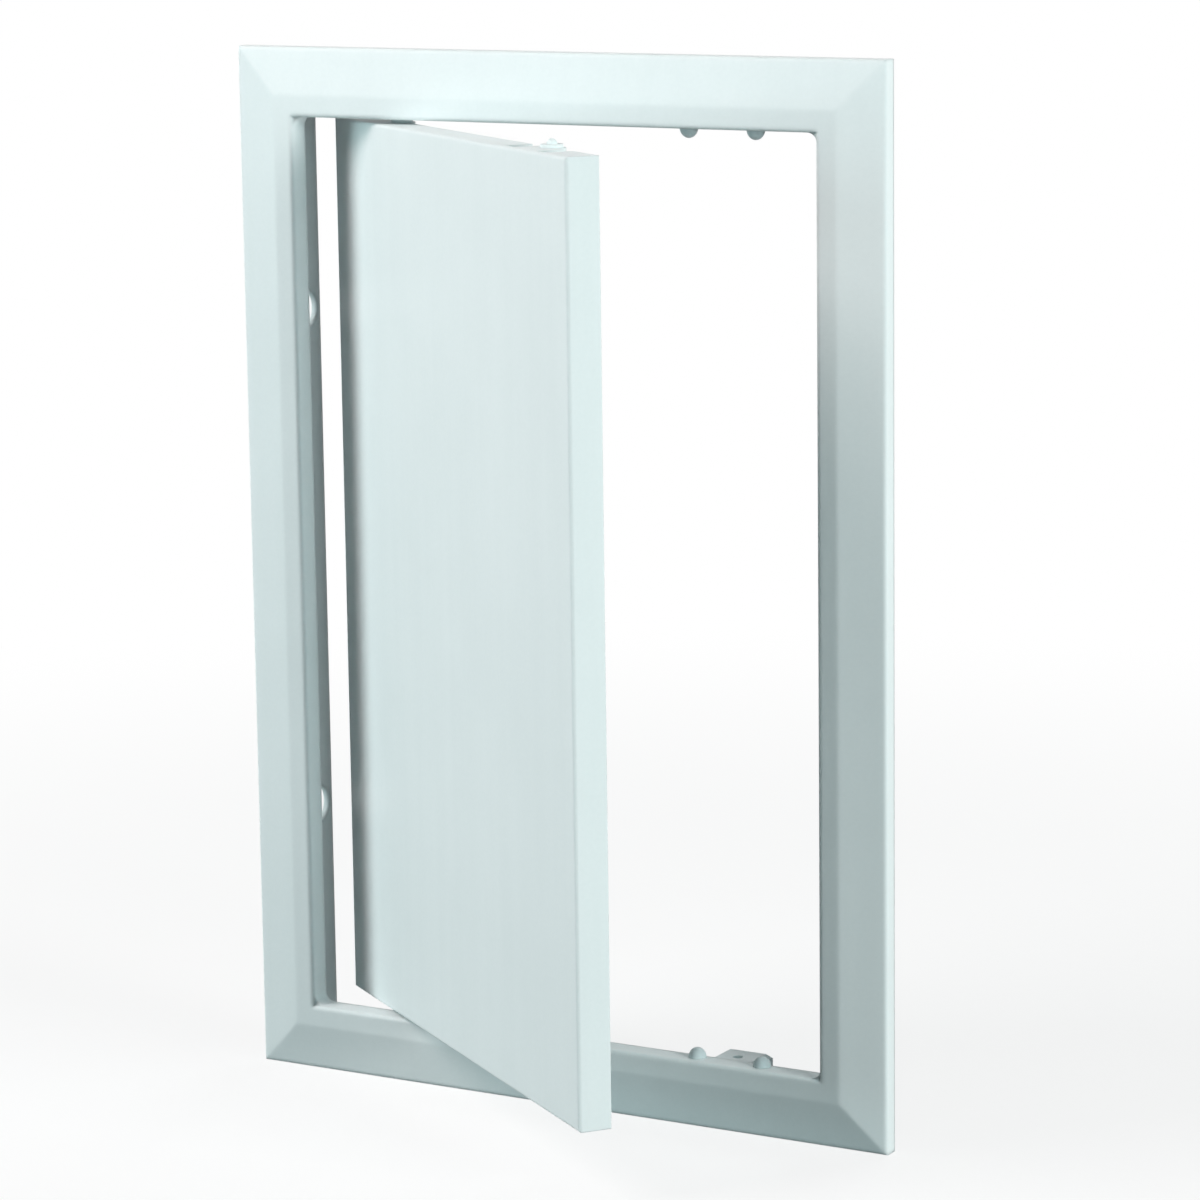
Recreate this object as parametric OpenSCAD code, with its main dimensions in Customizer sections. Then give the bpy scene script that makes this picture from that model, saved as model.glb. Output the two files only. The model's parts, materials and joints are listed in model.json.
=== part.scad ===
// Access panel: a bevelled frame for an opening in a wall or ceiling, with a tray-shaped leaf
// that turns on two sprung pins and is held shut by two more like them.
// X runs to the right, Y into the wall and Z up. The origin is the middle of the opening on the
// wall plane, where the bezel's back rim bears. Lengths are in millimetres.

/* [Frame] */
// Width over the bezel
frame_w = 218; // [190:1:420]
// Height over the bezel
frame_h = 318; // [200:1:620]
// How far the bezel laps the wall outside the collar
lap = 11; // [8:0.5:20]
// Wall thickness of the frame moulding
frame_t = 2; // [1.6:0.1:2.4]
// From the collar's inside to the ridge line of the bezel
ridge_past = 1.25; // [0.5:0.25:4]
// Width of the flat land from the ridge to the opening
land_w = 6.5; // [5.5:0.25:10]
// Height of the bezel's outer rim off the wall
rim_h = 5; // [4:0.25:8]
// Rise of the land over the rim
ridge_rise = 3; // [2:0.25:5]
// Depth of the lip's return wall round the opening
lip_depth = 7.4; // [6:0.1:8]
// Edge radius of the outer rim
rim_r = 0.8; // [0.4:0.1:1.5]
// Edge radius along the ridge
ridge_r = 5; // [2:0.5:10]
// Edge radius of the lip
lip_r = 1; // [0.4:0.1:1.5]
// Radius of the opening's corners
opening_r = 3; // [1.5:0.5:4]

/* [Collar] */
// Depth of the collar behind the wall plane
collar_depth = 17; // [15:0.5:40]
// Diameter of the anchor holes in the collar's upright sides
anchor_d = 12; // [6:0.5:14]
// Distance between the two anchor holes of one side
anchor_pitch = 156; // [60:1:160]
// From an anchor hole's centre to the collar's back edge
anchor_edge = 7.6; // [7.2:0.1:8]
// Thickness of the ribs behind the bezel
rib_t = 1.6; // [1:0.1:2.5]
// Spacing of the ribs behind the bezel
rib_pitch = 46; // [25:1:80]
// How far those ribs stay below the wall plane
rib_clear = 1; // [0.5:0.25:2]

/* [Leaf] */
// How far the leaf stands open, in degrees
open_deg = 36; // [0:1:140]
// Gap between the leaf and the opening at each upright side
side_gap = 1.4; // [1.2:0.1:3]
// Gap between the leaf and the opening above and below
end_gap = 1.4; // [1.2:0.1:3]
// How far the shut leaf's face lies behind the frame's land
face_set = 1.1; // [0:0.1:1.5]
// Depth of the leaf's tray
leaf_depth = 10; // [8:0.5:14]
// Thickness of the leaf's face
leaf_t = 2.2; // [1.6:0.1:3]
// Thickness of the leaf's side walls
leaf_wall = 2; // [1.6:0.1:2.6]
// Edge radius round the leaf's face
edge_r = 1; // [0.8:0.1:2]
// Height of the ribs on the leaf's back
leaf_rib_h = 2; // [1:0.25:4]
// Thickness of the ribs on the leaf's back
leaf_rib_t = 1.4; // [1:0.1:2]
// Spacing of the ribs on the leaf's back
leaf_rib_pitch = 54; // [40:1:80]
// Diameter of the bosses that carry the pins on the leaf's end walls
boss_d = 6.4; // [5.6:0.1:7]
// Gap between a boss and the frame's lip
boss_gap = 0.4; // [0.3:0.1:0.8]

/* [Pivot stations] */
// From the opening's upright side to the axis of the pins
pivot_inset = 32.5; // [28:0.05:45]
// Diameter of the pivot pins
pin_d = 3; // [2.4:0.1:4]
// Running clearance round a pin, on the radius
pin_clear = 0.05; // [0.02:0.01:0.1]
// How deep a pin sits in its socket
pin_bite = 1.2; // [0.8:0.1:1.4]
// Gap by which a pressed pin's nose passes the lip
pin_pass = 0.2; // [0.1:0.1:0.4]
// Width of a socket clip
clip_w = 15; // [12:0.5:16]
// Length of a socket clip, front to back
clip_len = 11.5; // [9:0.5:14]
// Bevel along a socket clip's ends and back
clip_bevel = 1.5; // [1:0.1:1.8]
// From the lip's back edge to the nearest side of a socket
socket_land = 1.9; // [1.5:0.1:3]
// Thickness of a socket clip's plate
clip_t = 2; // [1.6:0.1:3]
// Thickness of a socket clip's legs
leg_t = 3; // [2.6:0.1:3.4]
// Diameter of the pegs under a socket clip's legs
peg_d = 2; // [1.6:0.1:2.4]
// Diameter of a guide stud's head
stud_d = 5.4; // [4.4:0.1:5.6]
// Distance between the two studs of a station
stud_pitch = 21.7; // [20:0.1:26]
// How far a guide stud stands out of the lip
stud_rise = 3; // [2:0.1:3.2]
// How far a guide stud's head hangs past the lip's back edge
stud_over = 0.8; // [0.6:0.1:1]
// Gap at each side of a guide stud in its slot in the leaf
slot_gap = 0.5; // [0.4:0.1:1]
// Diameter of a guide stud's shank
shank_d = 2.4; // [2:0.1:2.8]

/* [Sprung pins] */
// Outer diameter of the barrels on the leaf's back
barrel_d = 8; // [7.4:0.1:10]
// Bore of a barrel
bore_d = 5; // [4.6:0.1:5.4]
// Thickness of a pin's shoulder
shoulder_t = 1.2; // [0.8:0.1:2]
// Length of a pin spring as fitted
spring_len = 9; // [7:0.5:12]
// Wire diameter of a pin spring
wire_d = 0.5; // [0.4:0.05:0.6]
// Number of turns in a pin spring
spring_turns = 6; // [4:1:8]
// Length of a plug's spigot inside the barrel
plug_in = 2; // [1.5:0.1:3]
// Thickness of a plug's head
plug_head = 1.2; // [0.8:0.1:2]

/* [Hidden] */
$fn = 48;

// Small allowances: overlap where two walls join, cut past a face, play of a fixed spigot
bond = 0.5;
past = 1;
play = 0.05;

// Frame section: distances inward from the outer edge, and heights with the front negative
ridge_in = lap + frame_t + ridge_past;
band_w = ridge_in + land_w;
land_y = -rim_h - ridge_rise;
lip_back = land_y + lip_depth;
open_w = frame_w - 2 * band_w;
open_h = frame_h - 2 * band_w;
collar_x = frame_w / 2 - lap;
collar_z = frame_h / 2 - lap;
anchor_y = collar_depth - anchor_edge;

// Leaf, as it lies when shut
leaf_w = open_w - 2 * side_gap;
leaf_h = open_h - 2 * end_gap;
leaf_front = land_y + face_set;
leaf_back = leaf_front + leaf_depth;
skin_back = leaf_front + leaf_t;
leaf_band = leaf_wall + edge_r;

// Pivot stations
station_x = open_w / 2 - pivot_inset;
socket_d = pin_d + 2 * pin_clear;
clip_front = lip_back;
clip_rear = clip_front + clip_len;
clip_top = open_h / 2;
clip_base = collar_z - frame_t;
pivot_y = clip_front + socket_land + socket_d / 2;
peg_x = (clip_w - leg_t) / 2;
peg_y = clip_front + clip_len / 2;
stud_y = lip_back + stud_over - stud_d / 2;
slot_w = stud_d + 2 * slot_gap;
barb_d = shank_d + 0.8;
barb_h = 0.8;
boss_h = end_gap - boss_gap;

// Sprung pins, along the upper right pin
pin_travel = pin_bite + pin_pass;
pin_tip = open_h / 2 + pin_bite;
shoulder_z = leaf_h / 2 - leaf_wall - play;
spring_top = shoulder_z - shoulder_t - play;
plug_z = spring_top - spring_len - play;
barrel_end = plug_z - plug_in;
tail_d = bore_d / 2 - 2 * wire_d;
tail_len = spring_len - 2 * pin_travel;
spring_r = (bore_d - wire_d) / 2 - 4 * play;

// Unit vector from p to q
function toward(p, q) = (q - p) / norm(q - p);

// Arc that rounds the corner b of the path a, b, c with radius r, in n steps
function rounded(a, b, c, r, n = 6) =
    let (u = toward(b, a), v = toward(b, c))
    let (half = acos(u * v) / 2)
    let (mid = b + toward([0, 0], u + v) * r / sin(half))
    let (first = b + u * r / tan(half) - mid, last = b + v * r / tan(half) - mid)
    let (start = atan2(first[1], first[0]))
    let (turn = atan2(first[0] * last[1] - first[1] * last[0], first * last))
    [for (i = [0 : n]) mid + r * [cos(start + turn * i / n), sin(start + turn * i / n)]];

// Height of the bezel's slope at a distance in from its edge, and of its underside
function face_y(u) = -rim_h - ridge_rise * u / ridge_in;
function under_y(u) = face_y(u) + frame_t;

// Front line of the frame's section from the rim to the land, and its line round the lip
rim_arc = rounded([0, 0], [0, -rim_h], [ridge_in, land_y], rim_r);
ridge_arc = rounded([0, -rim_h], [ridge_in, land_y], [band_w, land_y], ridge_r);
lip_arc = rounded([ridge_in, land_y], [band_w, land_y], [band_w, lip_back], lip_r);
rise_line = concat([[0, 0]], rim_arc, ridge_arc);
lip_line = concat([[band_w - lip_r, land_y - past]], lip_arc, [[band_w, lip_back + past]]);

// Underside of the moulding
hollow_line = [
    [frame_t, collar_depth + past],
    [frame_t, under_y(frame_t)],
    [ridge_in, under_y(ridge_in)]];

rib_section = [
    [frame_t - bond, -rib_clear],
    [frame_t - bond, under_y(frame_t) - bond],
    [lap + bond, under_y(lap) - bond],
    [lap + bond, -rib_clear]];

leaf_line = concat(
    [[0, leaf_back]],
    rounded([0, leaf_back], [0, leaf_front], [leaf_band, leaf_front], edge_r));

// Cross section of a w wide body from the line of its one side, given as inward distance and depth
function across(line, w) = concat(
    [for (p = line) [p[0] - w / 2, p[1]]],
    [for (i = [len(line) - 1 : -1 : 0]) [w / 2 - line[i][0], line[i][1]]]);

// Body that has the same line on its four sides, so that they meet in mitres
module crossed(line, w, h) {
    intersection() {
        linear_extrude(h + 2 * past, center = true) polygon(across(line, w));
        rotate([0, -90, 0]) linear_extrude(w + 2 * past, center = true) polygon(across(line, h));
    }
}

// Rectangular block about the middle, from one depth to another
module block(w, h, front, back) {
    translate([-w / 2, front, -h / 2]) cube([w, back - front, h]);
}

// Ribs that tie the rim to the collar behind the bezel, evenly spaced about each side's middle
module bezel_ribs() {
    for (side = [0 : 3]) {
        run = side % 2 == 0 ? frame_w : frame_h;
        out = side % 2 == 0 ? frame_h / 2 : frame_w / 2;
        count = floor((run / 2 - 2 * lap) / rib_pitch);
        for (i = [-count : count])
            rotate([0, 90 * side, 0]) translate([i * rib_pitch, 0, -out])
                rotate([0, -90, 0]) linear_extrude(rib_t, center = true) polygon(rib_section);
    }
}

// What lies behind the bezel but the collar, the lip and the ribs
module hollow() {
    back = collar_depth + 2 * past;
    difference() {
        crossed(hollow_line, frame_w, frame_h);
        difference() {
            block(2 * collar_x, 2 * collar_z, land_y, back);
            block(2 * (collar_x - frame_t), 2 * (collar_z - frame_t), land_y - past, back + past);
        }
        block(open_w + 2 * frame_t, open_h + 2 * frame_t, land_y, lip_back);
        bezel_ribs();
    }
}

// What is cut out inside the lip: the opening, rounded at its corners below the lip's edge
module opening() {
    web = opening_r + past;
    x = open_w / 2 - opening_r;
    z = open_h / 2 - opening_r;
    difference() {
        crossed(lip_line, frame_w, frame_h);
        for (sx = [-1, 1], sz = [-1, 1])
            translate([sx * x, land_y + lip_r, sz * z]) difference() {
                translate([sx > 0 ? 0 : -web, 0, sz > 0 ? 0 : -web]) cube([web, 2 * lip_depth, web]);
                rotate([90, 0, 0]) cylinder(r = opening_r, h = 6 * lip_depth, center = true);
            }
    }
}

// Puts what is drawn for a station above the middle at one of the four: sx -1 left, sz -1 below
module at_station(sx, sz) {
    translate([sx * station_x, 0, 0]) rotate([0, sz > 0 ? 0 : 180, 0]) children();
}

module at_all_stations() {
    for (sx = [-1, 1], sz = [-1, 1]) at_station(sx, sz) children();
}

// Turns what is drawn on the shut leaf to where it rests, about the left pair of pins
module stand_open() {
    translate([-station_x, pivot_y, 0]) rotate([0, 0, -open_deg])
        translate([station_x, -pivot_y, 0]) children();
}

module bezel_frame() {
    color("white") difference() {
        union() {
            crossed(rise_line, frame_w, frame_h);
            block(2 * collar_x, 2 * collar_z, -rim_h, collar_depth);
        }
        hollow();
        opening();
        for (sx = [-1, 1], sz = [-1, 1])
            translate([sx * (collar_x - frame_t / 2), anchor_y, sz * anchor_pitch / 2])
                rotate([0, 90, 0]) cylinder(d = anchor_d, h = frame_t + 2 * past, center = true);
        for (sz = [-1, 1], side = [-1, 1])
            at_station(1, sz) translate([side * stud_pitch / 2, stud_y, open_h / 2 - past])
                cylinder(d = shank_d + 2 * play, h = frame_t + 2 * past);
        at_all_stations()
            for (side = [-1, 1]) translate([side * peg_x, peg_y, clip_base - past])
                cylinder(d = peg_d + 2 * play, h = frame_t + 2 * past);
    }
}

// Bridge behind the lip, flush with it, whose plate has the socket that a pin springs into
module socket_clip(sx, sz) {
    color("whitesmoke") at_station(sx, sz) {
        difference() {
            intersection() {
                rotate([90, 0, 90]) linear_extrude(2 * clip_w, center = true)
                    polygon([[clip_front, clip_base], [clip_front, clip_top],
                             [clip_rear - clip_bevel, clip_top], [clip_rear, clip_top + clip_bevel],
                             [clip_rear, clip_base]]);
                rotate([90, 0, 0]) linear_extrude(4 * clip_len, center = true)
                    polygon([[-clip_w / 2, clip_base], [-clip_w / 2, clip_top + clip_bevel],
                             [clip_bevel - clip_w / 2, clip_top], [clip_w / 2 - clip_bevel, clip_top],
                             [clip_w / 2, clip_top + clip_bevel], [clip_w / 2, clip_base]]);
            }
            translate([0, pivot_y, clip_top - past]) cylinder(d = socket_d, h = clip_t + 2 * past);
            translate([leg_t - clip_w / 2, clip_front - past, clip_top + clip_t])
                cube([clip_w - 2 * leg_t, clip_len + 2 * past, clip_base - clip_top]);
        }
        for (side = [-1, 1]) translate([side * peg_x, peg_y, clip_base - bond])
            cylinder(d = peg_d, h = frame_t + bond);
    }
}

// Two domed studs in the lip, either side of a catch, that guide the leaf by the slots in its end wall
module guide_studs(sz) {
    dome = [for (a = [0 : 10 : 90]) [stud_d / 2 * sin(a), -stud_rise * cos(a)]];
    stem = [[shank_d / 2, 0], [shank_d / 2, frame_t], [barb_d / 2, frame_t],
            [shank_d / 4, frame_t + barb_h], [0, frame_t + barb_h]];
    color("gainsboro") at_station(1, sz)
        for (side = [-1, 1]) translate([side * stud_pitch / 2, stud_y, open_h / 2])
            rotate_extrude() polygon(concat(dome, stem));
}

// Grid of low ribs on the back of the leaf's face
module leaf_ribs() {
    inner_w = leaf_w - 2 * leaf_wall + 2 * bond;
    inner_h = leaf_h - 2 * leaf_wall + 2 * bond;
    rib_h = leaf_rib_h + bond;
    rib_y = skin_back + leaf_rib_h - rib_h / 2;
    rows = floor((leaf_h / 2 - leaf_wall) / leaf_rib_pitch);
    columns = floor((leaf_w / 2 - leaf_wall) / leaf_rib_pitch);
    for (i = [-rows : rows])
        translate([0, rib_y, i * leaf_rib_pitch]) cube([inner_w, rib_h, leaf_rib_t], center = true);
    for (i = [0.5 - columns : columns - 0.5])
        translate([i * leaf_rib_pitch, rib_y, 0]) cube([leaf_rib_t, rib_h, inner_h], center = true);
}

// Tray with its ribs, a barrel and a boss for each pin, and slots that take the guide studs as it shuts
module door_leaf() {
    web_h = pivot_y - skin_back + bond;
    barrel_len = leaf_h / 2 - barrel_end;
    slot_x = (stud_pitch - slot_w) / 2;
    slot_y = stud_y - stud_d / 2;
    slot_h = leaf_wall + bond;
    color("white") stand_open() difference() {
        union() {
            difference() {
                crossed(leaf_line, leaf_w, leaf_h);
                block(leaf_w - 2 * leaf_wall, leaf_h - 2 * leaf_wall, skin_back, leaf_back + past);
            }
            leaf_ribs();
            at_all_stations() {
                translate([0, pivot_y, barrel_end]) cylinder(d = barrel_d, h = barrel_len);
                translate([0, pivot_y, leaf_h / 2 - bond]) cylinder(d = boss_d, h = boss_h + bond);
                translate([-bore_d / 2, pivot_y - web_h, barrel_end]) cube([bore_d, web_h, barrel_len]);
            }
        }
        at_all_stations() translate([0, pivot_y, barrel_end]) {
            translate([0, 0, -past]) cylinder(d = bore_d, h = shoulder_z + play - barrel_end + past);
            cylinder(d = socket_d, h = barrel_len + boss_h + past);
        }
        for (sz = [-1, 1], side = [0, 1])
            at_station(1, sz) mirror([side, 0, 0])
                translate([slot_x, slot_y, leaf_h / 2 - slot_h])
                    cube([slot_w, leaf_back + past - slot_y, slot_h + past]);
    }
}

// Pin with a domed nose, a shoulder that stops it in the barrel and a tail inside the spring
module sprung_pin(sx, sz) {
    reach = pin_tip - shoulder_z;
    nose = [for (a = [0 : 15 : 90]) pin_d / 2 * [cos(a), sin(a) - 1] + [0, reach]];
    color("gainsboro") stand_open() at_station(sx, sz) translate([0, pivot_y, shoulder_z])
        rotate_extrude() polygon(concat([
            [0, -shoulder_t - tail_len], [tail_d / 2, -shoulder_t - tail_len], [tail_d / 2, -shoulder_t],
            [bore_d / 2 - play, -shoulder_t], [bore_d / 2 - play, 0], [pin_d / 2, 0]], nose));
}

// Round wire wound as a helix between the plug and the pin's shoulder
module pin_spring(sx, sz) {
    around = 6;
    steps = 12 * spring_turns;
    rise = spring_len - wire_d;
    points = [for (i = [0 : steps], k = [0 : around - 1])
        let (a = 360 * spring_turns * i / steps, b = 360 * k / around, r = spring_r + wire_d / 2 * cos(b))
        [r * cos(a), r * sin(a), wire_d / 2 + rise * i / steps + wire_d / 2 * sin(b)]];
    walls = [for (i = [0 : steps - 1], k = [0 : around - 1], half = [0, 1])
        let (j = (k + 1) % around, low = i * around, high = low + around)
        half == 0 ? [low + k, high + k, high + j] : [low + k, high + j, low + j]];
    ends = [[for (k = [0 : around - 1]) k], [for (k = [around - 1 : -1 : 0]) steps * around + k]];
    color("silver") stand_open() at_station(sx, sz) translate([0, pivot_y, plug_z + play])
        polyhedron(points, concat(walls, ends));
}

// Plug with a spigot in the barrel and a head against the barrel's end
module barrel_plug(sx, sz) {
    color("gainsboro") stand_open() at_station(sx, sz) translate([0, pivot_y, barrel_end]) {
        cylinder(d = bore_d - 2 * play, h = plug_in);
        translate([0, 0, -plug_head]) cylinder(d = barrel_d, h = plug_head);
    }
}

bezel_frame();
door_leaf();
socket_clip(-1, 1);  // socket_clip_upper_left
socket_clip(1, 1);  // socket_clip_upper_right
socket_clip(-1, -1);  // socket_clip_lower_left
socket_clip(1, -1);  // socket_clip_lower_right
guide_studs(1);  // guide_studs_upper
guide_studs(-1);  // guide_studs_lower
sprung_pin(-1, 1);  // pivot_pin_upper_left
sprung_pin(-1, -1);  // pivot_pin_lower_left
sprung_pin(1, 1);  // catch_pin_upper_right
sprung_pin(1, -1);  // catch_pin_lower_right
pin_spring(-1, 1);  // pin_spring_upper_left
pin_spring(1, 1);  // pin_spring_upper_right
pin_spring(-1, -1);  // pin_spring_lower_left
pin_spring(1, -1);  // pin_spring_lower_right
barrel_plug(-1, 1);  // barrel_plug_upper_left
barrel_plug(1, 1);  // barrel_plug_upper_right
barrel_plug(-1, -1);  // barrel_plug_lower_left
barrel_plug(1, -1);  // barrel_plug_lower_right
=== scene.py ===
import json
from math import cos, radians, sin

import bpy
import numpy as np
from mathutils import Matrix, Vector

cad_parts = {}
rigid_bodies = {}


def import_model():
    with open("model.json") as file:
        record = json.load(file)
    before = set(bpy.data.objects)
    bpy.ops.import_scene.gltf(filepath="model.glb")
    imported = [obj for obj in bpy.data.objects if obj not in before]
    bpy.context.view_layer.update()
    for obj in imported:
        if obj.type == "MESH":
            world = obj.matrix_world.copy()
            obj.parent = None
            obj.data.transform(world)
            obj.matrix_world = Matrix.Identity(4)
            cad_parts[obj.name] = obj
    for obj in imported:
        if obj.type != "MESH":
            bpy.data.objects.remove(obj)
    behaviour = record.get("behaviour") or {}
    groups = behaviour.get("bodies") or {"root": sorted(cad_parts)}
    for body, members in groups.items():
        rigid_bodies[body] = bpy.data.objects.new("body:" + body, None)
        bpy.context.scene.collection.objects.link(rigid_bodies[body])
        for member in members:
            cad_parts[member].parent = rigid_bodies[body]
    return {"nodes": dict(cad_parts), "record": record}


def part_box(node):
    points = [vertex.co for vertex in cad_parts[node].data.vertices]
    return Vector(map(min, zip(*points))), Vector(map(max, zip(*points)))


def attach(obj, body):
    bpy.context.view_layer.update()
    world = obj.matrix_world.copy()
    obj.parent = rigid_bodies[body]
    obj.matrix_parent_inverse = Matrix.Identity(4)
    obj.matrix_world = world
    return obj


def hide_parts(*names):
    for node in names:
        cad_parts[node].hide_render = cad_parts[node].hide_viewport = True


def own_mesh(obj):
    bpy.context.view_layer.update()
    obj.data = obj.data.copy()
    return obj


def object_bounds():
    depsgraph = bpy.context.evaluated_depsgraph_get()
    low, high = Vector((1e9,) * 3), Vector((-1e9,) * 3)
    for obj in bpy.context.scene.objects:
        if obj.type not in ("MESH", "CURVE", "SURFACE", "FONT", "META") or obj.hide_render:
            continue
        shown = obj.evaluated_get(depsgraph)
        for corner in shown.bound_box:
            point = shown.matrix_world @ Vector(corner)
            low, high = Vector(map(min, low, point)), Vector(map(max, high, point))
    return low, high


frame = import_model()
bounds_at_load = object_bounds()

# Where the picture is taken from, in metres and degrees
CAMERA_AT = (0.657, -1.1258, 0.2368)
CAMERA_AZIMUTH = 29.81
CAMERA_ELEVATION = 10.46
CAMERA_ROLL = -0.75
LENS_MM = 133.31
SENSOR_MM = 36.0

# The leaf at rest: how far it is open, a point on the axis it turns about, and its ribs' spacing
JOINTS = {joint["name"]: joint for joint in frame["record"]["behaviour"]["joints"]}
LEAF_OPEN = radians(-JOINTS["leaf_swing"]["range_deg"][0])
PIVOT_AT = tuple(JOINTS["leaf_swing"]["pos_m"])
RIB_PITCH = 0.054

# Pin springs: the wire's radius, the turns, and the steps along a turn and round the wire
WIRE_R = 0.00025
COIL_TURNS = 6
COIL_STEPS = 24
WIRE_SIDES = 10

# White of the mouldings, with a cool cast: its darker clouds and its lighter ones
COOL_SHADE = (0.82, 0.868, 0.87)
COOL_WHITE = (0.862, 0.906, 0.908)

# Painted shade in the inner corners: its darker, cooler tint on the plastic, and how far from a
# corner it reaches
PAINTED_CORNER_SHADE = (0.84, 0.9, 0.905)
CORNER_SHADE_AND_DUST_REACH = 0.012

# Plastic's tone: how many clouds and specks go to a metre, how its flow lines are drawn out along
# Z, the share of each, and the span of their sum that goes from the darker colour to the lighter
CLOUDS = 22.0
SPECKS = 900.0
FLOW = (160.0, 160.0, 9.0)
CLOUD_SHARE = 0.5
SPECK_SHARE = 0.25
FLOW_SHARE = 0.25
TONE_SPAN = (0.3, 0.7)

# Plastic's wear: rubbed patches to a metre, where they count as rubbed, how far a rounded edge's
# normal turns, how open a corner is where the painted corner shade and the dust end, and what
# patches, rubbed edges and dust in the corners do to the roughness
RUBBED = 65.0
RUBBED_SPAN = (0.35, 0.65)
EDGE_TURN = 0.12
OPEN_SPAN = (0.1, 0.9)
PATCH_ROUGHNESS = 0.12
EDGE_POLISH = 0.1
DUST_ROUGHNESS = 0.12

# Plastic's surface: depth and strength of its tool grain, the grain's share beside the leaf's
# sinks, the sinks' half width as a share of the ribs' spacing, their share of the depth, the gloss
GRAIN_DEPTH = 0.00002
GRAIN_STRENGTH = 0.6
GRAIN_SHARE = 0.2
SINK_WIDTH = 0.05
SINK_SHARE = 0.5
PLASTIC_IOR = 1.42
PLASTIC_GLOSS = 0.28

# Studs' white plastic painted grey as painted shade, and the pins' greyer plastic, darker and
# lighter
STUD_PAINTED_SHADE_DARK = (0.54, 0.61, 0.62)
STUD_PAINTED_SHADE_LIGHT = (0.62, 0.69, 0.70)
PIN_SHADE = (0.73, 0.79, 0.79)
PIN_LIGHT = (0.79, 0.86, 0.86)

# Rays that feel out a rounded edge or an inner corner
EDGE_SAMPLES = 6

# Drawn wire: its colours, how its streaks are stretched, how deep and how rough they are, and how
# far its edges are softened
STEEL_SHADE = (0.50, 0.51, 0.53)
STEEL_LIGHT = (0.68, 0.69, 0.71)
STREAKS = (400.0, 400.0, 2500.0)
STREAK_DEPTH = 0.00001
STREAK_STRENGTH = 0.4
STEEL_ROUGHNESS = 0.25
STREAK_ROUGHNESS = 0.2
WIRE_EDGE = 0.0001


class Wire:
    """An output socket, wrapped so that shader maths reads as ordinary arithmetic."""

    def __init__(self, tree, socket):
        self.tree = tree
        self.socket = socket

    def node(self, kind, settings, values, out=0):
        """Adds any other node: its settings first, then its inputs by name or number."""
        made = self.tree.nodes.new(kind)
        for name, value in settings.items():
            setattr(made, name, value)
        for key, value in values.items():
            feed(self.tree, made.inputs[key], value)
        return Wire(self.tree, made.outputs[out])

    def maths(self, operation, *values):
        """Adds a Math node with this socket as its first value."""
        settings = {"operation": operation}
        return self.node("ShaderNodeMath", settings, dict(enumerate((self,) + values)))

    def vector(self, operation, other, out=0):
        """Adds a Vector Math node with this socket as its first vector."""
        settings = {"operation": operation}
        return self.node("ShaderNodeVectorMath", settings, {0: self, 1: other}, out)

    def __add__(self, other):
        return self.maths("ADD", other)

    def __sub__(self, other):
        return self.maths("SUBTRACT", other)

    def __rsub__(self, other):
        return self.node("ShaderNodeMath", {"operation": "SUBTRACT"}, {0: other, 1: self})

    def __mul__(self, other):
        return self.maths("MULTIPLY", other)

    def __truediv__(self, other):
        return self.maths("DIVIDE", other)

    def __rtruediv__(self, other):
        return self.node("ShaderNodeMath", {"operation": "DIVIDE"}, {0: other, 1: self})

    __radd__ = __add__
    __rmul__ = __mul__

    def band(self, low, high):
        """Goes smoothly from 0 at low to 1 at high."""
        values = {"Value": self, "From Min": low, "From Max": high}
        return self.node("ShaderNodeMapRange", {"interpolation_type": "SMOOTHSTEP"}, values)

    def tint(self, dark, light):
        """Mixes two colours by this factor."""
        values = {"Factor": self, 6: dark + (1.0,), 7: light + (1.0,)}
        return self.node("ShaderNodeMix", {"data_type": "RGBA"}, values, 2)

    def tinted(self, colour):
        """Multiplies this colour by another."""
        settings = {"data_type": "RGBA", "blend_type": "MULTIPLY"}
        return self.node("ShaderNodeMix", settings, {"Factor": 1.0, 6: self, 7: colour}, 2)

    def noise(self, scale, detail=3.0, roughness=0.5):
        """Noise of this vector, between about 0 and 1."""
        values = {"Vector": self, "Scale": scale, "Detail": detail, "Roughness": roughness}
        return self.node("ShaderNodeTexNoise", {}, values, "Fac")

    def soft_normal(self, radius):
        """The surface's normal, turned near its edges as if they had a radius."""
        return self.node("ShaderNodeBevel", {"samples": EDGE_SAMPLES}, {"Radius": radius})

    def edges(self):
        """Rises from 0 on open faces to 1 along the edges, where this soft normal turns away."""
        flat = self.node("ShaderNodeNewGeometry", {}, {}, "True Normal")
        return (1.0 - self.vector("DOT_PRODUCT", flat, "Value")).band(0.0, EDGE_TURN)

    def shelter(self, reach):
        """Goes from 0 in the inner corners to 1 on the open faces."""
        settings = {"samples": EDGE_SAMPLES, "only_local": True}
        return self.node("ShaderNodeAmbientOcclusion", settings, {"Distance": reach}, "AO")

    def relief(self, depth, strength, normal):
        """Bumps a normal by this height."""
        values = {"Height": self, "Distance": depth, "Strength": strength, "Normal": normal}
        return self.node("ShaderNodeBump", {}, values)


def feed(tree, socket, value):
    """Links a wire to an input, or sets the input's own value."""
    if isinstance(value, Wire):
        tree.links.new(value.socket, socket)
    else:
        socket.default_value = value


def new_material(name):
    """Makes an empty node material; gives back it, its shader, and its place as a wire."""
    made = bpy.data.materials.new(name)
    made.use_nodes = True
    tree = made.node_tree
    shader = tree.nodes["Principled BSDF"]
    place = tree.nodes.new("ShaderNodeTexCoord")
    return made, shader, Wire(tree, place.outputs["Object"])


def set_inputs(shader, **inputs):
    """Feeds a shader's inputs, whose names are written with underscores."""
    for name, value in inputs.items():
        feed(shader.id_data, shader.inputs[name.replace("_", " ")], value)


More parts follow.
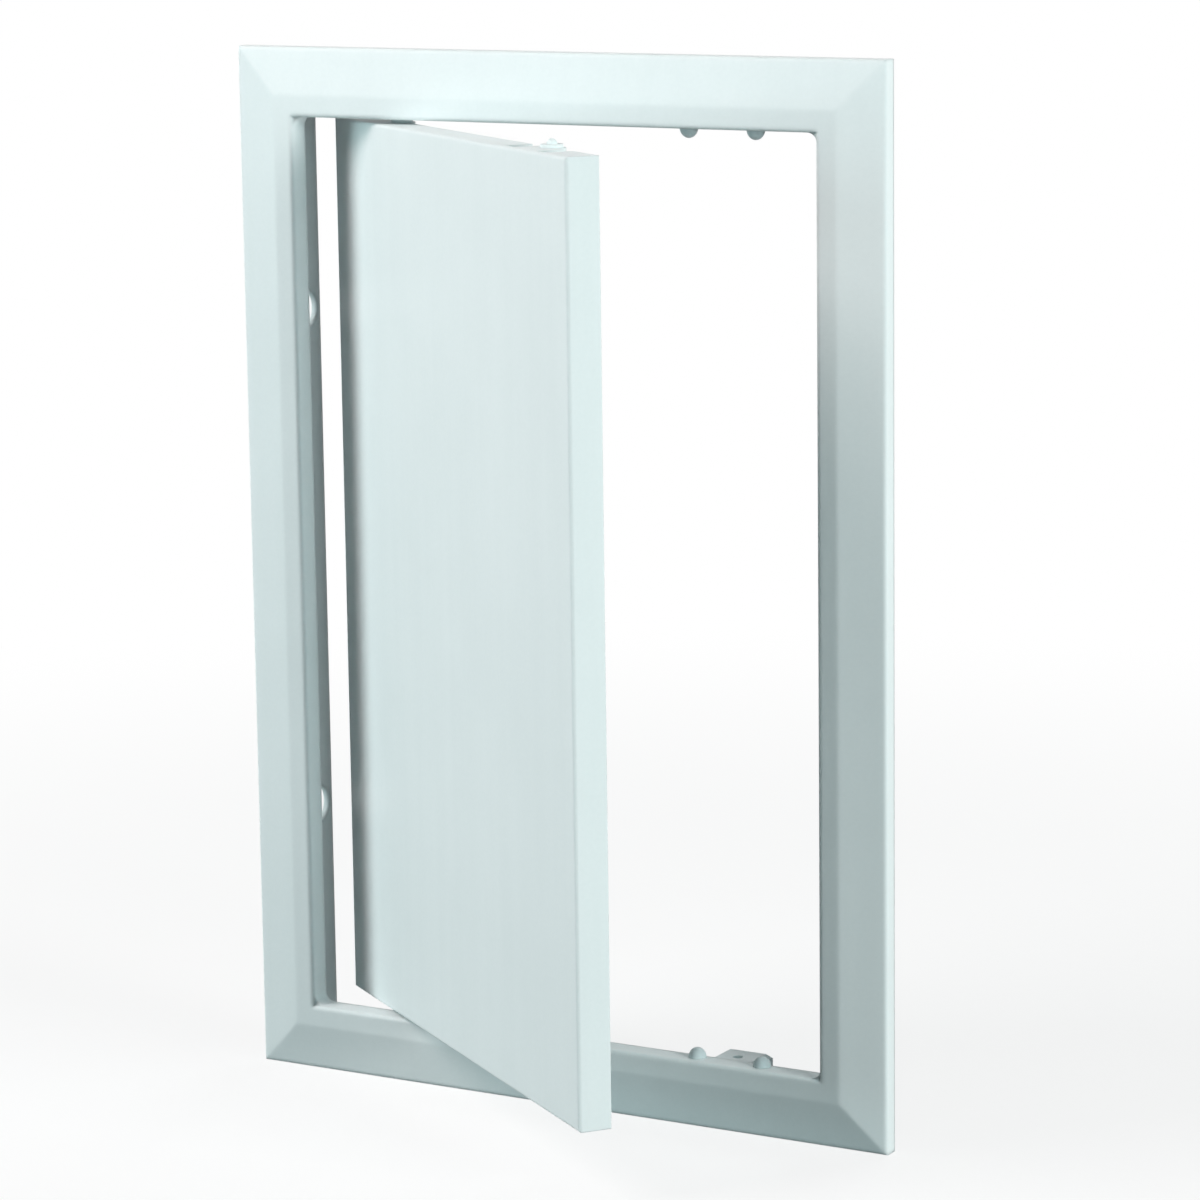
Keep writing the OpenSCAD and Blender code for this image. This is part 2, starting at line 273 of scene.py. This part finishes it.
def moulded_plastic(name, dark, light, roughness, grain, edge, relief_of=None):
    """Satin moulded plastic: clouded tone with faint flow lines, painted shade darkening the inner
    corners, where dust also makes it rougher, edges that handling has polished, and a fine tool
    grain."""
    made, shader, place = new_material(name)
    cloud = place.noise(CLOUDS, detail=4.0)
    speck = place.noise(SPECKS, detail=2.0)
    flow = place.vector("MULTIPLY", FLOW).noise(1.0, detail=4.0)
    tone = (cloud * CLOUD_SHARE + speck * SPECK_SHARE + flow * FLOW_SHARE).band(*TONE_SPAN)
    rub = place.noise(RUBBED, detail=5.0, roughness=0.6)
    normal = place.soft_normal(edge)
    worn = normal.edges() * rub.band(*RUBBED_SPAN)
    # Painted shade: occlusion darkens and cools the colour in the inner corners, which are also
    # made rougher
    clear_of_shade_and_dust = place.shelter(CORNER_SHADE_AND_DUST_REACH).band(*OPEN_SPAN)
    colour = clear_of_shade_and_dust.tint(PAINTED_CORNER_SHADE, (1.0, 1.0, 1.0)).tinted(tone.tint(dark, light))
    height = place.noise(grain, detail=2.0)
    if relief_of:
        height = height * GRAIN_SHARE + relief_of(place)
    rough = (roughness + PATCH_ROUGHNESS * (rub - 0.5) - EDGE_POLISH * worn
             + DUST_ROUGHNESS * (1.0 - clear_of_shade_and_dust))
    set_inputs(shader, Base_Color=colour, Roughness=rough, IOR=PLASTIC_IOR,
               Specular_IOR_Level=PLASTIC_GLOSS,
               Normal=height.relief(GRAIN_DEPTH, GRAIN_STRENGTH, normal))
    return made


def leaf_sinks(place):
    """Faint sinks in the leaf's face over its ribs, as a height: how far a point lies from the
    nearest rib, along the leaf's width or along its length. The shut leaf's middle is at the
    origin, with a rib half a spacing to either side of it and a rib across it."""
    width = (cos(LEAF_OPEN), -sin(LEAF_OPEN), 0.0)
    along = place.vector("SUBTRACT", PIVOT_AT).vector("DOT_PRODUCT", width, "Value")
    up = place.vector("DOT_PRODUCT", (0.0, 0.0, 1.0), "Value")
    middle = -PIVOT_AT[0]
    columns = (((along - middle) / RIB_PITCH).maths("FRACT") - 0.5).maths("ABSOLUTE")
    rows = ((up / RIB_PITCH + 0.5).maths("FRACT") - 0.5).maths("ABSOLUTE")
    return columns.maths("MINIMUM", rows).band(0.0, SINK_WIDTH) * SINK_SHARE


def spring_steel():
    """Drawn spring wire: grey steel with fine lengthwise streaks."""
    made, shader, place = new_material("spring steel")
    streak = place.vector("MULTIPLY", STREAKS).noise(1.0, detail=3.0)
    normal = place.soft_normal(WIRE_EDGE)
    set_inputs(shader, Base_Color=streak.tint(STEEL_SHADE, STEEL_LIGHT), Metallic=1.0,
               Roughness=STEEL_ROUGHNESS + STREAK_ROUGHNESS * streak,
               Normal=streak.relief(STREAK_DEPTH, STREAK_STRENGTH, normal))
    return made


materials = {
    "frame_plastic": moulded_plastic("frame plastic", COOL_SHADE, COOL_WHITE,
                                     roughness=0.42, grain=5000.0, edge=0.002),
    "leaf_plastic": moulded_plastic("leaf plastic", COOL_SHADE, COOL_WHITE,
                                    roughness=0.42, grain=6000.0, edge=0.0006,
                                    relief_of=leaf_sinks),
    "clip_plastic": moulded_plastic("clip plastic", COOL_SHADE, COOL_WHITE,
                                    roughness=0.32, grain=4000.0, edge=0.0004),
    # The studs' grey is painted shade on what is the frame's white plastic
    "stud_plastic": moulded_plastic("stud plastic with painted shade", STUD_PAINTED_SHADE_DARK, STUD_PAINTED_SHADE_LIGHT,
                                    roughness=0.30, grain=4000.0, edge=0.0003),
    "pin_plastic": moulded_plastic("pin plastic", PIN_SHADE, PIN_LIGHT,
                                   roughness=0.30, grain=4000.0, edge=0.0003),
    "spring_wire": spring_steel(),
}
slots = {part["node"]: part["material_slot"] for part in frame["record"]["subparts"]}
for name, obj in frame["nodes"].items():
    obj.data.materials.clear()
    obj.data.materials.append(materials[slots[name]])


def wound_wire(name, low, high):
    """Makes a coil that fills a box: the wire's round section stands upright across a circle, and
    climbs evenly from the bottom of the box to its top while it goes round."""
    middle = (np.array(low) + np.array(high)) / 2
    coil_r = (high[0] - low[0]) / 2 - WIRE_R
    steps = COIL_TURNS * COIL_STEPS
    share = np.linspace(0.0, 1.0, steps + 1)[:, None]
    turn = 2.0 * np.pi * COIL_TURNS * share
    around = np.linspace(0.0, 2.0 * np.pi, WIRE_SIDES, endpoint=False)[None, :]
    radius = coil_r + WIRE_R * np.cos(around)
    rise = (high[2] - low[2] - 2.0 * WIRE_R) * share
    points = np.stack((middle[0] + radius * np.cos(turn), middle[1] + radius * np.sin(turn),
                       low[2] + WIRE_R + rise + WIRE_R * np.sin(around)), axis=-1)
    ring = np.arange(WIRE_SIDES)
    first = WIRE_SIDES * np.arange(steps)[:, None]
    here, beside = first + ring, first + np.roll(ring, -1)
    walls = np.stack((here, here + WIRE_SIDES, beside + WIRE_SIDES, beside), axis=-1).reshape(-1, 4)
    ends = [ring.tolist(), (ring[::-1] + WIRE_SIDES * steps).tolist()]
    mesh = bpy.data.meshes.new(name)
    mesh.from_pydata(points.reshape(-1, 3).tolist(), [], walls.tolist() + ends)
    mesh.polygons.foreach_set("use_smooth", np.ones(len(mesh.polygons), dtype=bool))
    made = bpy.data.objects.new(name, mesh)
    bpy.context.scene.collection.objects.link(made)
    return made


# Pin springs: a wound coil in place of each plain spring, fixed to the body its joint hangs from
for joint in JOINTS.values():
    for spring in joint.get("deforming_nodes", ()):
        low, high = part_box(spring["node"])
        coil = wound_wire(spring["node"].replace("pin_spring", "wound_spring"), low, high)
        coil.data.materials.append(materials["spring_wire"])
        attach(coil, joint["parent"])
        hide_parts(spring["node"])
        1.0 - joint["range_m"][1] / (high[2] - low[2])
        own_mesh(coil)


def white_to(tree):
    """One for rays that find a white background: from the eye, off a gloss or through glass."""
    outputs = tree.nodes.new("ShaderNodeLightPath").outputs
    eye, gloss, glass = (Wire(tree, outputs[f"Is {kind} Ray"])
                         for kind in ("Camera", "Glossy", "Transmission"))
    return eye.maths("MAXIMUM", gloss).maths("MAXIMUM", glass)


# White surroundings to the eye and to gloss, and a dim cool fill to the object
WHITE = (1.0, 1.0, 1.0, 1.0)
FILL_COLOUR = (0.55, 0.95, 1.0)
FILL_STRENGTH = 0.02
world = bpy.data.worlds.new("studio")
bpy.context.scene.world = world
world.use_nodes = True
tree = world.node_tree
tree.nodes.clear()
seen = white_to(tree)
dim = {"Color": FILL_COLOUR + (1.0,), "Strength": FILL_STRENGTH}
fill = seen.node("ShaderNodeBackground", {}, dim)
white = seen.node("ShaderNodeBackground", {}, {"Color": WHITE, "Strength": 1.0})
shown = seen.node("ShaderNodeMixShader", {}, {0: seen, 1: fill, 2: white})
tree.links.new(shown.socket, tree.nodes.new("ShaderNodeOutputWorld").inputs["Surface"])

# Pale floor under the frame's lower edge: white to the eye, with the object's shadow on it where it
# lies near, and dark to the light that bounces off it
FLOOR_HALF = 4.0
FLOOR_WHITE = 0.92
FLOOR_GREY = 0.08
FLOOR_ROUGHNESS = 0.9
FIBRES = 30.0
FIBRE_SHARE = 0.04
SHADOW_SHARE = 0.2
SHADOW_REACH = (0.3, 0.8)
floor_z = bounds_at_load[0][2]
mesh = bpy.data.meshes.new("floor")
mesh.from_pydata([(x * FLOOR_HALF, y * FLOOR_HALF, floor_z)
                  for x, y in ((-1, -1), (1, -1), (1, 1), (-1, 1))], [], [(0, 1, 2, 3)])
floor = bpy.data.objects.new("floor", mesh)
bpy.context.scene.collection.objects.link(floor)
floor_material, shader, place = new_material("pale floor")
tree = floor_material.node_tree
seen = white_to(tree)
grey = seen * (FLOOR_WHITE - FLOOR_GREY) + FLOOR_GREY + place.noise(FIBRES) * FIBRE_SHARE
paper = grey.node("ShaderNodeCombineColor", {}, {0: grey, 1: grey, 2: grey})
set_inputs(shader, Base_Color=paper, Roughness=FLOOR_ROUGHNESS, Specular_IOR_Level=0.0)
glow = seen.node("ShaderNodeEmission", {}, {"Color": WHITE, "Strength": 1.0})
away = place.node("ShaderNodeVectorMath", {"operation": "LENGTH"}, {0: place}, "Value")
lit = seen * (1.0 - SHADOW_SHARE * (1.0 - away.band(*SHADOW_REACH)))
base = Wire(tree, shader.outputs["BSDF"])
shown = seen.node("ShaderNodeMixShader", {}, {0: lit, 1: base, 2: glow})
tree.links.new(shown.socket, tree.nodes["Material Output"].inputs["Surface"])
floor.data.materials.append(floor_material)

# Lamps: the point they face, then each one's place, size in metres, power in watts and colour
MIDDLE = (0.0, -0.02, 0.0)


def soft_lamp(name, at, size, power, colour, glint=True):
    """Places a square soft light that faces the panel, with or without its glint on the gloss."""
    data = bpy.data.lights.new(name, "AREA")
    data.shape = "SQUARE"
    data.size = size
    data.energy = power
    data.color = colour
    lamp = bpy.data.objects.new(name, data)
    lamp.location = at
    lamp.rotation_euler = (Vector(MIDDLE) - Vector(at)).to_track_quat("-Z", "Y").to_euler()
    bpy.context.scene.collection.objects.link(lamp)
    lamp.visible_glossy = glint


soft_lamp("key lamp", (-0.7, -0.7, 0.9), 0.6, 11.6, (1.0, 0.935, 0.925))
soft_lamp("side lamp", (1.9, -0.45, 0.45), 0.8, 33.2, (1.0, 0.98, 0.955), glint=False)
soft_lamp("left lamp", (-1.3, -1.0, 0.1), 0.8, 12.8, (0.74, 1.0, 1.02))
soft_lamp("right lamp", (1.9, -0.9, 0.3), 1.2, 8.0, (0.36, 1.0, 1.1))
soft_lamp("rear lamp", (0.1, 1.3, 1.5), 0.9, 8.0, (0.9, 1.0, 1.01))

# Camera: its axes worked out from the bearing, the height and the roll
az, el, roll = radians(CAMERA_AZIMUTH), radians(CAMERA_ELEVATION), radians(CAMERA_ROLL)
back = Vector((sin(az) * cos(el), -cos(az) * cos(el), sin(el)))
right = Vector((cos(az), sin(az), 0.0))
up = right.cross(-back)
turned_right = cos(roll) * right + sin(roll) * up
turned_up = cos(roll) * up - sin(roll) * right
camera_data = bpy.data.cameras.new("camera")
camera_data.sensor_width = SENSOR_MM
camera_data.lens = LENS_MM
camera = bpy.data.objects.new("camera", camera_data)
camera.matrix_world = Matrix((turned_right, turned_up, back)).transposed().to_4x4()
camera.location = CAMERA_AT
bpy.context.scene.collection.objects.link(camera)
bpy.context.scene.camera = camera
bpy.context.scene.view_settings.view_transform = "Standard"
